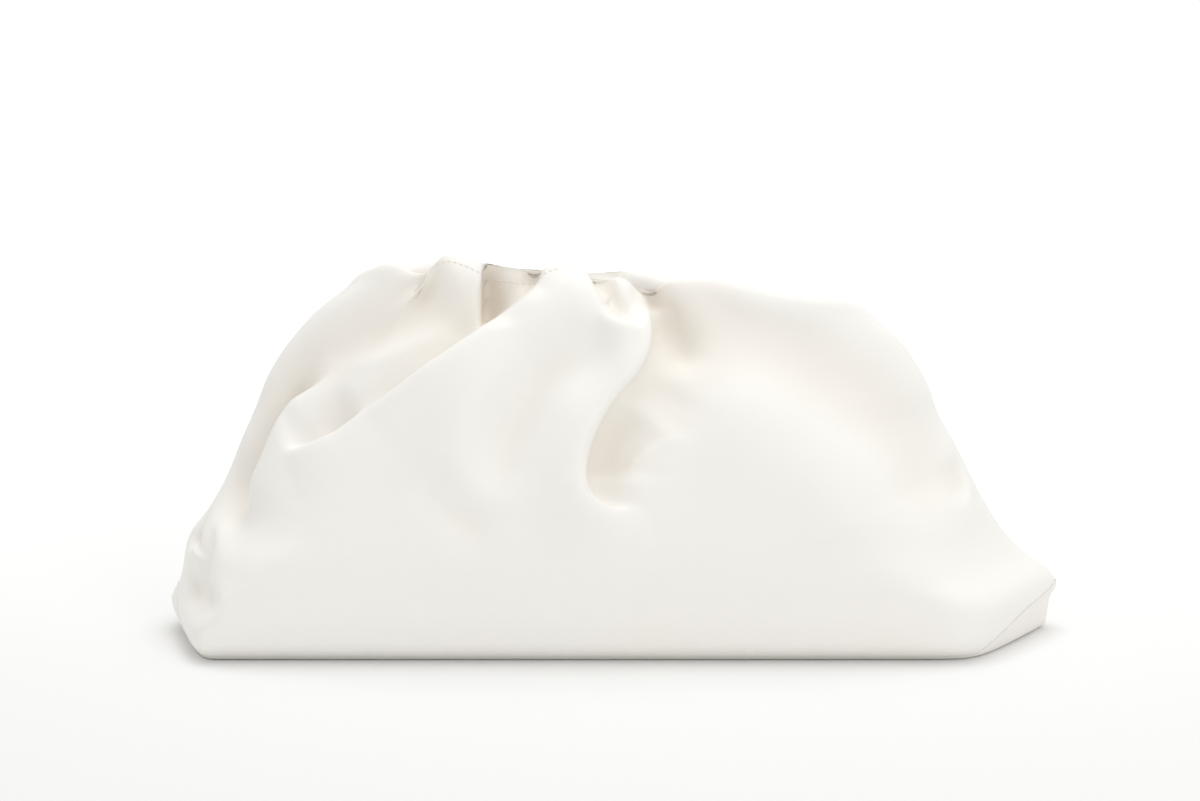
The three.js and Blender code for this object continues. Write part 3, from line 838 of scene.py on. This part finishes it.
@dataclass(frozen=True)
class SpringSteel:
    """Cold-rolled spring steel strip, nickel plated: a grey gleam with fine rolling marks."""

    name: str
    plate: str = "#c4c1ba"
    roughness: float = 0.34
    line_mm: float = 0.6
    line_depth_mm: float = 0.02

    def material(self) -> bpy.types.Material:
        """Make the strip's material."""
        made, tree, shader = new_surface(self.name)
        shader.inputs["Metallic"].default_value = 1.0
        shader.inputs["Base Color"].default_value = linear(self.plate)
        place = add_node(tree, "ShaderNodeTexCoord", {}, {}).outputs["Object"]
        along = add_node(tree, "ShaderNodeMapping", {"Scale": (0.05, 1.0, 1.0)}, {"Vector": place})
        lines = add_node(
            tree, "ShaderNodeTexNoise", {"Scale": 1 / (self.line_mm * MM), "Detail": 3.0},
            {"Vector": along.outputs["Vector"]},
        )
        rough = add_node(
            tree, "ShaderNodeMapRange",
            {"To Min": self.roughness - 0.08, "To Max": self.roughness + 0.1},
            {"Value": lines.outputs["Fac"]},
        )
        tree.links.new(rough.outputs["Result"], shader.inputs["Roughness"])
        bump = add_node(
            tree, "ShaderNodeBump", {"Strength": 0.3, "Distance": self.line_depth_mm * MM},
            {"Height": lines.outputs["Fac"]},
        )
        tree.links.new(bump.outputs["Normal"], shader.inputs["Normal"])
        return made


@dataclass(frozen=True)
class BondedThread:
    """Bonded nylon sewing thread, three strands twisted, with a dry sheen and a visible twist."""

    name: str
    colour: str = "#f4f1ea"
    twist_mm: float = 0.7
    twist_turn: float = 35.0
    twist_depth_mm: float = 0.1

    def material(self) -> bpy.types.Material:
        """Make the thread's material."""
        made, tree, shader = new_surface(self.name)
        shader.inputs["Base Color"].default_value = linear(self.colour)
        shader.inputs["Roughness"].default_value = 0.62
        place = add_node(tree, "ShaderNodeTexCoord", {}, {}).outputs["Object"]
        turn = (0.0, math.radians(self.twist_turn), 0.0)
        turned = add_node(tree, "ShaderNodeMapping", {"Rotation": turn}, {"Vector": place})
        # The wave's bands repeat every 1 / Scale times 2 pi / 20 metres.
        twist = add_node(
            tree, "ShaderNodeTexWave", {"Scale": 2 * math.pi / 20 / (self.twist_mm * MM)},
            {"Vector": turned.outputs["Vector"]},
        )
        bump = add_node(
            tree, "ShaderNodeBump", {"Strength": 0.6, "Distance": self.twist_depth_mm * MM},
            {"Height": twist.outputs["Fac"]},
        )
        tree.links.new(bump.outputs["Normal"], shader.inputs["Normal"])
        return made


@dataclass(frozen=True)
class StudioPaper:
    """Seamless white background paper: matt, with no mark of its own."""

    name: str
    colour: str = "#efefee"

    def material(self) -> bpy.types.Material:
        """Make the paper's material."""
        made, _, shader = new_surface(self.name)
        shader.inputs["Base Color"].default_value = linear(self.colour)
        shader.inputs["Roughness"].default_value = 0.9
        shader.inputs["Specular IOR Level"].default_value = 0.1
        return made


@dataclass
class LeatherBody:
    """The wrap: front, back and ends in one leather, over the crest and in to the mouth."""

    form: LeatherForm
    front_columns: int = 360
    back_columns: int = 176
    wall_rows: int = 120
    lip_rows: int = 24
    inner_step: int = 5
    skived: float = 0.5
    skived_over: float = 2.0
    relax_passes: int = 3

    def plain(self) -> Sheet:
        """Lay the wrap out before any fold.

        Returns:
            The sheet, row by row from the seam to the turned-in edge.
        """
        form = self.form
        side, at = form.loop(self.front_columns, self.back_columns)
        steps = np.concatenate([
            form.even_numbers(0, form.shoulder, self.wall_rows)[:-1],
            form.even_numbers(form.shoulder, form.last, self.lip_rows),
        ])
        seam = form.number_at(form.seam_height(at) + form.seam_gap)
        raised = seam[None] + steps[:, None] * (1 - seam[None] / form.shoulder)
        number = np.where(steps[:, None] < form.shoulder, raised, steps[:, None])
        side = np.broadcast_to(side, number.shape)
        at = np.broadcast_to(at, number.shape)
        x, y = form.level_point(side, at, number)
        level = form.column(Column.HEIGHT, number)
        crest = form.crest(side, at)
        wave = smooth((level / form.height - form.crest_starts) / (1 - form.crest_starts))
        wave = np.where(number > form.crest_number, 1.0, wave)
        z = level + (crest - form.height) * wave
        top = form.column(Column.DEPTH, np.array([float(form.crest_number)]))[0]
        crossed = np.hypot(form.column(Column.DEPTH, number) - top, level - form.height)
        crossed = np.where(number > form.crest_number, crossed, 0.0)
        on_sheet = np.where(crossed > 0, crest + crossed, z)
        points = np.stack([x, y, z], -1)
        return Sheet(points, side, at, number, on_sheet, crossed, np.zeros_like(z))

    def folded(self) -> Sheet:
        """Lay the wrap out with all its folds, lightly relaxed.

        Returns:
            The folded sheet.
        """
        sheet = self.plain()
        FoldField(self.form, FOLDS).move(sheet)
        for _ in range(self.relax_passes):
            p = sheet.points
            around = (np.roll(p, 1, 1) + np.roll(p, -1, 1))[1:-1] + p[2:] + p[:-2]
            p[1:-1] = (p[1:-1] + around / 4) / 2
        return sheet

    def build(self, finish: Nappa) -> bpy.types.Object:
        """Build the wrap, 2 mm thick and skived to half of that where it turns over the rim.

        Args:
            finish: its leather.

        Returns:
            The wrap's object.
        """
        sheet = self.folded()
        over = smooth((sheet.number - self.form.shoulder) / self.skived_over)
        thickness = self.form.leather * (1 - self.skived * over)
        inside = sheet.points - sheet.out(self.form) * thickness[..., None]
        rows = np.append(np.arange(0, len(inside) - 1, self.inner_step), len(inside) - 1)
        points, faces = closed_wall(sheet.points, inside[rows])
        piece = make_object("leather_wrap", points, faces, finish.material())
        # How deep the folds sink the leather, kept to paint shade into the hollows and darker shade
        # into the deepest folds.
        hollow = np.concatenate([sheet.hollow.reshape(-1), sheet.hollow[rows].reshape(-1)])
        fold_shade = piece.data.attributes.new("hollow", "FLOAT", "POINT")
        fold_shade.data.foreach_set("value", np.clip(hollow / (2 * self.form.fold_depth), 0, 1))
        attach(piece, "root")
        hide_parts("leather_body")
        return piece


@dataclass
class BasePanel:
    """The flat base with its two upturned, pointed gussets."""

    form: LeatherForm
    columns: int = 300
    rise_rows: int = 10
    edge_round: float = 1.7
    centre_share: float = 0.9

    def loop_at(self, side: Array, at: Array, share: float, inset: float) -> Array:
        """Give one loop of the base's wall.

        Args:
            side: -1 on the front, 1 on the back.
            at: the place along the loop, from -1 to 1.
            share: how far up to the seam the loop runs, from 0 to 1.
            inset: how far in from the outside it lies, 0 for the outside itself.

        Returns:
            The loop's points.
        """
        form = self.form
        height = form.seam_height(at) * share
        if inset > 0:
            height = np.maximum(form.leather, height)
        number = form.number_at(height)
        x, y = form.level_point(side, at, number)
        point = np.stack([x, y, height], -1)
        below = np.clip(1 - height / self.edge_round, 0, 1)
        rounded = self.edge_round * (1 - np.sqrt(1 - below**2))
        return point - form.level_out(side, at, number) * (inset + rounded)[:, None]

    def build(self, finish: Nappa) -> bpy.types.Object:
        """Build the base.

        Args:
            finish: its leather.

        Returns:
            The base's object.
        """
        form = self.form
        side, at = form.loop(self.columns, self.columns)
        floor = np.zeros_like(at)
        shares = np.linspace(0, 1, self.rise_rows + 1)
        grids = []
        for height, inset in ((0.0, 0.0), (form.leather, form.leather)):
            x, _ = form.level_point(side, at * self.centre_share, floor)
            centre = np.stack([x, np.zeros_like(x), np.full_like(x, height)], -1)
            loops = [self.loop_at(side, at, share, inset) for share in shares]
            grids.append(np.stack([centre, *loops]))
        points, faces = closed_wall(grids[0], grids[1], True)
        piece = make_object("base_leather", points, faces, finish.material())
        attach(piece, "root")
        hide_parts("base_panel")
        return piece


@dataclass
class MouthFacing:
    """The leather band that hangs from the turned-in edge into the mouth."""

    form: LeatherForm
    columns: int = 220
    rows: int = 12

    def build(self, finish: Nappa) -> bpy.types.Object:
        """Build the facing.

        Args:
            finish: its leather.

        Returns:
            The facing's object.
        """
        form = self.form
        side, at = form.loop(self.columns, self.columns)
        number = np.full_like(at, float(form.last))
        x, y = form.level_point(side, at, number)
        out = form.level_out(side, at, number)
        top = form.crest(side, at) - (form.height - form.table[-1, Column.HEIGHT]) - form.seam_gap
        levels = [top - share * form.facing_depth for share in np.linspace(0, 1, self.rows + 1)]
        face = np.stack([np.stack([x, y, level], -1) for level in levels])
        points, faces = closed_wall(face, face + out[None] * form.leather)
        piece = make_object("facing_leather", points, faces, finish.material())
        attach(piece, "root")
        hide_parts("mouth_facing")
        return piece


@dataclass
class RimStitches:
    """The line of stitches that holds the turned-over rim, a little below the crest.

    Each span is a face and where its line starts and stops along the mouth, from -1 to 1. Each
    stitch arches out of the leather by a share of the thread and dips into it at both ends.
    """

    wrap: LeatherBody
    below_crest: float = 7.0
    pitch: float = 2.6
    stitch: float = 2.0
    thread: float = 0.36
    spans: tuple[tuple[Side, float, float], ...] = (
        (Side.FRONT, -0.72, -0.20), (Side.BACK, -0.90, 0.90),
    )
    sides: int = 6
    steps: int = 6
    arch: float = 0.55
    dip: float = 0.05
    thinnest: float = 0.12

    def line(self, sheet: Sheet, side: Side, first: float, last: float) -> tuple[Array, Array]:
        """Follow the rim on one face.

        Args:
            sheet: the folded wrap.
            side: the face.
            first: where the line starts, from -1 at the mouth's left end to 1 at its right.
            last: where it stops.

        Returns:
            The line's points and the outward direction at each.
        """
        form = self.wrap.form
        out = sheet.out(form)
        crest = int(np.argmin(np.abs(sheet.number[:, 0] - form.crest_number)))
        columns = [
            c for c in range(sheet.at.shape[1])
            if sheet.side[0, c] == side.value and first <= sheet.at[0, c] <= last
        ]
        columns.sort(key=lambda c: sheet.at[0, c])
        points, normals = [], []
        for c in columns:
            up = sheet.points[:crest + 1, c][::-1]
            run = distances(up)
            place = np.interp(self.below_crest, run, np.arange(len(run)))
            low = int(place)
            part = place - low
            rows = (crest - low, crest - low - 1)
            points.append(sheet.points[rows[0], c] * (1 - part) + sheet.points[rows[1], c] * part)
            normals.append(out[rows[0], c] * (1 - part) + out[rows[1], c] * part)
        return np.array(points), np.array(normals)

    def body(self, spine: Array, out: Array, start: int) -> tuple[Array, list[list[int]]]:
        """Sweep one stitch along the leather, thin at both ends.

        Args:
            spine: points along the leather.
            out: the outward direction at each.
            start: the number of its first vertex.

        Returns:
            The vertices and faces.
        """
        rise = np.sin(np.linspace(0, np.pi, self.steps + 1))
        spine = spine + out * (self.thread * (self.arch * rise - self.dip))[:, None]
        over = np.cross(unit(np.gradient(spine, axis=0)), out)
        radius = self.thread / 2 * np.sqrt(np.clip(rise, self.thinnest, 1))
        turn = 2 * np.pi * np.arange(self.sides) / self.sides
        ring = np.cos(turn)[:, None] * over[:, None] + np.sin(turn)[:, None] * out[:, None]
        points = spine[:, None] + radius[:, None, None] * ring
        index = start + np.arange(points.shape[0] * self.sides).reshape(-1, self.sides)
        a, b = index[:-1], np.roll(index, -1, 1)[:-1]
        quads = np.stack([a, a + self.sides, b + self.sides, b], -1).reshape(-1, 4).tolist()
        return points.reshape(-1, 3), [*quads, index[0].tolist(), index[-1][::-1].tolist()]

    def build(self, sheet: Sheet, finish: BondedThread) -> bpy.types.Object:
        """Build all the stitches as one piece.

        Args:
            sheet: the folded wrap.
            finish: the thread.

        Returns:
            The stitches' object.
        """
        bodies, faces, count = [], [], 0
        for side, first, last in self.spans:
            line, normals = self.line(sheet, side, first, last)
            run = distances(line)
            for k in range(int(run[-1] / self.pitch)):
                at = np.linspace(k * self.pitch, k * self.pitch + self.stitch, self.steps + 1)
                spine = np.stack([np.interp(at, run, line[:, i]) for i in range(3)], -1)
                out = np.stack([np.interp(at, run, normals[:, i]) for i in range(3)], -1)
                points, quads = self.body(spine, unit(out), count)
                bodies.append(points)
                faces.extend(quads)
                count += len(points)
        piece = make_object("rim_stitches", np.concatenate(bodies), faces, finish.material())
        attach(piece, "root")
        return piece


@dataclass
class MouthFrame:
    """The hidden steel ring, which keeps its solid and takes a finish."""

    def dress(self, finish: SpringSteel) -> None:
        """Give the ring its steel.

        Args:
            finish: the steel.
        """
        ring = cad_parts["mouth_frame"]
        ring.data.materials.clear()
        ring.data.materials.append(finish.material())


@dataclass(frozen=True)
class Softbox:
    """One soft light and the spot that it points at, in metres, watts and degrees."""

    name: str
    place: tuple[float, float, float]
    aim: tuple[float, float, float]
    size: tuple[float, float]
    power: float
    spread: float = 180.0

    def hang(self) -> None:
        """Hang the light and turn it to its spot."""
        light = bpy.data.lights.new(self.name, "AREA")
        light.shape = "RECTANGLE"
        light.size, light.size_y = self.size
        light.energy = self.power
        light.spread = math.radians(self.spread)
        lamp = bpy.data.objects.new(self.name, light)
        lamp.location = self.place
        lamp.rotation_mode = "QUATERNION"
        lamp.rotation_quaternion = (Vector(self.aim) - Vector(self.place)).to_track_quat("-Z", "Y")
        bpy.context.scene.collection.objects.link(lamp)


SOFTBOXES = (
    Softbox("overhead_softbox", (0.10, 0.20, 1.6), (0, 0, 0.05), (1.2, 0.9), 9.0),
    Softbox("front_softbox", (0.9, -1.7, 0.9), (0.05, 0, 0.08), (0.8, 0.8), 5.5),
    Softbox("paper_softbox", (0, 4.3, 1.2), (0, 4.3, 0), (7, 7.6), 96.0, 90.0),
)


@dataclass
class Studio:
    """The white paper sweep, the soft lights and the camera, in metres and degrees."""

    target: tuple[float, float, float] = (-0.006, 0.0, 0.100)
    distance: float = 1.5
    elevation: float = 10.0
    lens: float = 104.67
    sensor: float = 36.0
    sky: float = 0.735
    floor_reach: float = 14.0

    def floor(self, finish: StudioPaper) -> None:
        """Lay the paper.

        Args:
            finish: the paper.
        """
        r = self.floor_reach / MM
        points = np.array([(-r, -r, 0), (r, -r, 0), (r, r, 0), (-r, r, 0)], dtype=float)
        make_object("paper_floor", points, [(0, 1, 2, 3)], finish.material())

    def lights(self) -> None:
        """Light the bag as a white tent does, from above and in front, and the far paper too."""
        world = bpy.data.worlds.new("white_tent")
        world.use_nodes = True
        backdrop = world.node_tree.nodes["Background"]
        backdrop.inputs["Color"].default_value = linear("#ffffff")
        backdrop.inputs["Strength"].default_value = self.sky
        bpy.context.scene.world = world
        for softbox in SOFTBOXES:
            softbox.hang()

    def camera(self) -> None:
        """Set the camera at the photo's viewing angle."""
        rise = math.radians(self.elevation)
        data = bpy.data.cameras.new("photo_camera")
        data.lens = self.lens
        data.sensor_width = self.sensor
        camera = bpy.data.objects.new("photo_camera", data)
        back = Vector((0, -math.cos(rise), math.sin(rise)))
        camera.location = Vector(self.target) + back * self.distance
        camera.rotation_euler = (math.pi / 2 - rise, 0, 0)
        bpy.context.scene.collection.objects.link(camera)
        bpy.context.scene.camera = camera

    def build(self) -> None:
        """Set up the whole studio."""
        bpy.context.scene.view_settings.view_transform = "Standard"
        self.camera()
        self.floor(StudioPaper("white_seamless_paper"))
        self.lights()


def main() -> None:
    """Build the studio and every piece of the bag in order."""
    logging.basicConfig(level=logging.INFO, format="%(name)s: %(message)s")
    Studio().build()
    form = LeatherForm()
    wrap = LeatherBody(form)
    matt = Nappa("nappa_facing", crown="#ece7df", hollow="#e2dbd0", roughness=0.55)
    pieces = [
        wrap.build(Nappa("nappa_wrap")),
        BasePanel(form).build(Nappa("nappa_base", crown="#f4f1ec", hollow="#eee9e0")),
        MouthFacing(form).build(matt),
        RimStitches(wrap).build(wrap.folded(), BondedThread("bonded_thread")),
    ]
    MouthFrame().dress(SpringSteel("nickel_spring_steel"))
    for piece in pieces:
        LOG.info("%s: %d faces", piece.name, len(piece.data.polygons))


if __name__ == "__main__":
    main()
